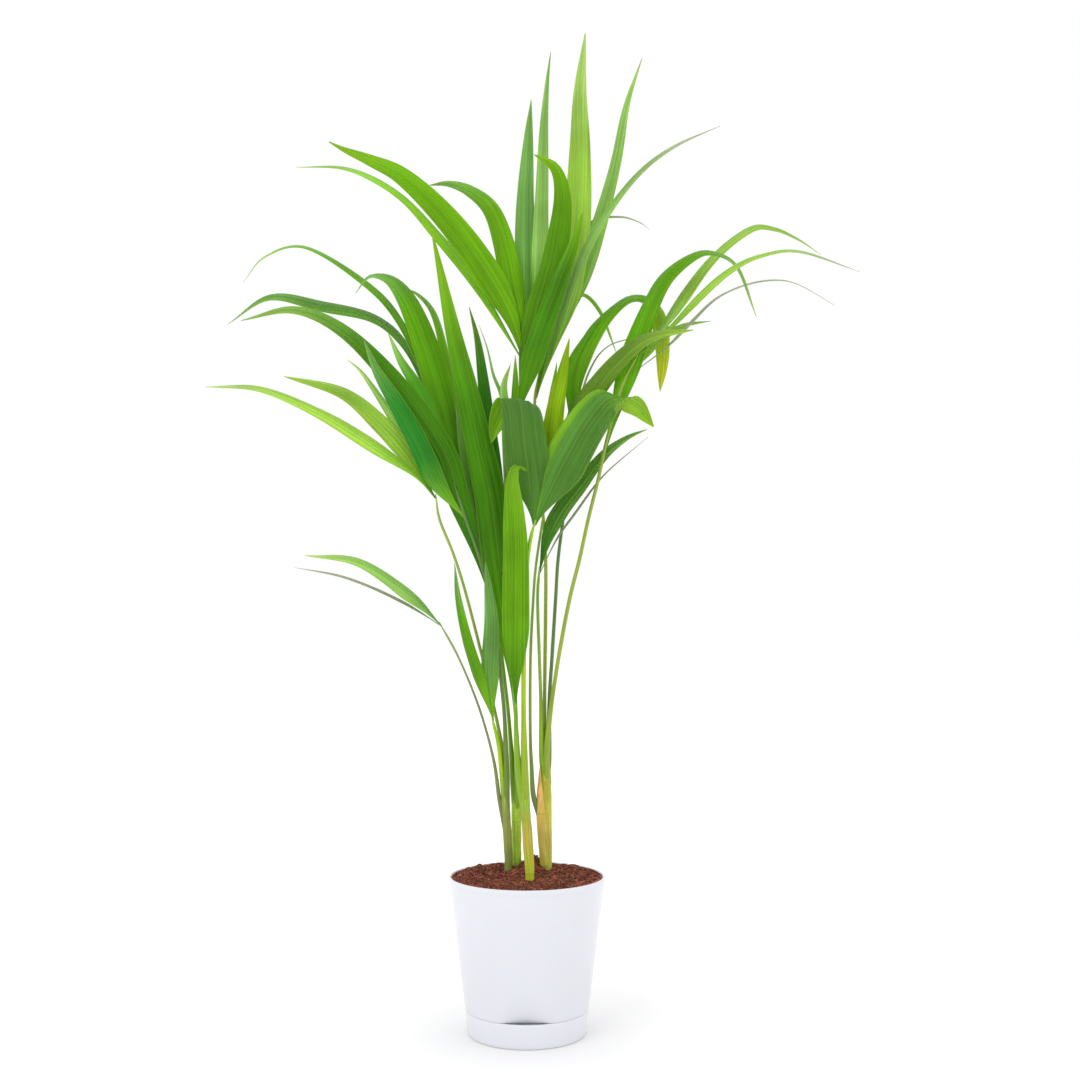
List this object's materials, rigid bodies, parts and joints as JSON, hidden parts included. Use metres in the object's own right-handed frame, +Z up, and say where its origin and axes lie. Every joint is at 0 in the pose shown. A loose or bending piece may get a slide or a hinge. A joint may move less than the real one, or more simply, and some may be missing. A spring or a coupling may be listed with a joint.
{
  "type": "potted palm",
  "caption": "Young clumping palm with slender canes and long pointed leaflets, planted in a tapered white self-watering pot with a clip-on water tray.",
  "frame": {"origin": "centre of the pot's underside, on the surface it stands on", "axes": "+Z up along the pot's axis, -Y towards the side with the fill scoop"},
  "size_m": [0.5232, 0.1673, 0.8061],
  "materials": {
    "pot_plastic": "satin white",
    "tray_plastic": "satin white",
    "soil": "loose coco-peat, matt",
    "cane": "smooth, slightly waxy",
    "leaf_low_left": "waxy leaf",
    "leaf_low_bifid": "waxy leaf",
    "leaf_left_yellow": "waxy leaf",
    "leaf_left_teal": "waxy leaf",
    "leaf_left_tall": "waxy leaf",
    "leaf_upright": "waxy leaf",
    "leaf_top_left": "waxy leaf",
    "leaf_top_right": "waxy leaf",
    "leaf_right": "waxy leaf",
    "leaf_centre_right": "waxy leaf",
    "leaf_front_bifid": "waxy leaf",
    "leaf_right_low": "waxy leaf",
    "leaf_young_spear": "waxy leaf",
    "leaf_front_small": "waxy leaf"
  },
  "bodies": {
    "root": {"pot_body": "pot_plastic", "water_tray": "tray_plastic", "potting_soil": "soil", "cane_left": "cane", "cane_back": "cane", "cane_front": "cane", "cane_right": "cane", "frond_low_left": "leaf_low_left", "frond_low_bifid": "leaf_low_bifid", "frond_left_yellow": "leaf_left_yellow", "frond_left_teal": "leaf_left_teal", "frond_left_tall": "leaf_left_tall", "frond_upright": "leaf_upright", "frond_top_left": "leaf_top_left", "frond_top_right": "leaf_top_right", "frond_right": "leaf_right", "frond_centre_right": "leaf_centre_right", "frond_front_bifid": "leaf_front_bifid", "frond_right_low": "leaf_right_low", "frond_young_spear": "leaf_young_spear", "frond_front_small": "leaf_front_small"}
  },
  "joints": []
}
